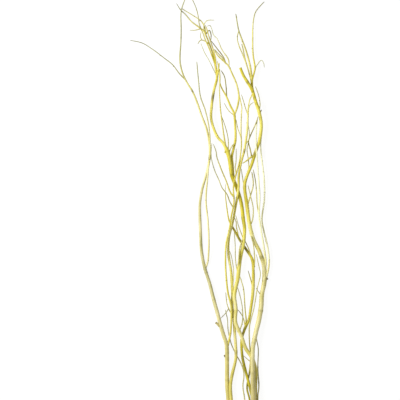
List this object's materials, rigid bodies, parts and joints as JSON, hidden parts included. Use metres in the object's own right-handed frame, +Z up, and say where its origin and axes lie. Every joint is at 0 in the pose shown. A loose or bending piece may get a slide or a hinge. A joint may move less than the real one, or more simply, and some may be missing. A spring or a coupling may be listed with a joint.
{
  "type": "willow stems",
  "caption": "Loose bunch of long dried curly willow stems with forked twigs, lying flat, for a tall vase or floor display.",
  "frame": {"origin": "bottom centre of the lying bunch, on the surface it rests on", "axes": "+Y runs along the bunch from the cut feet to the fine tips, +Z is up, +X is to the right of the picture"},
  "size_m": [0.3476, 1.0765, 0.0471],
  "materials": {
    "tan_bark": "dried, satin, pale tan at the foot and straw yellow higher up",
    "cream_bark": "dried, satin, pale cream yellow",
    "straw_bark": "dried, satin, straw yellow",
    "olive_bark": "dried, satin, olive gold",
    "grey_bark": "dried, matt, grey beige"
  },
  "bodies": {
    "root": {"left_stem": "tan_bark", "inner_left_stem": "cream_bark", "middle_stem": "straw_bark", "olive_stem": "olive_bark", "right_stem": "tan_bark", "slim_yellow_stem": "olive_bark", "slim_grey_stem": "grey_bark", "slim_right_stem": "grey_bark"}
  },
  "joints": []
}
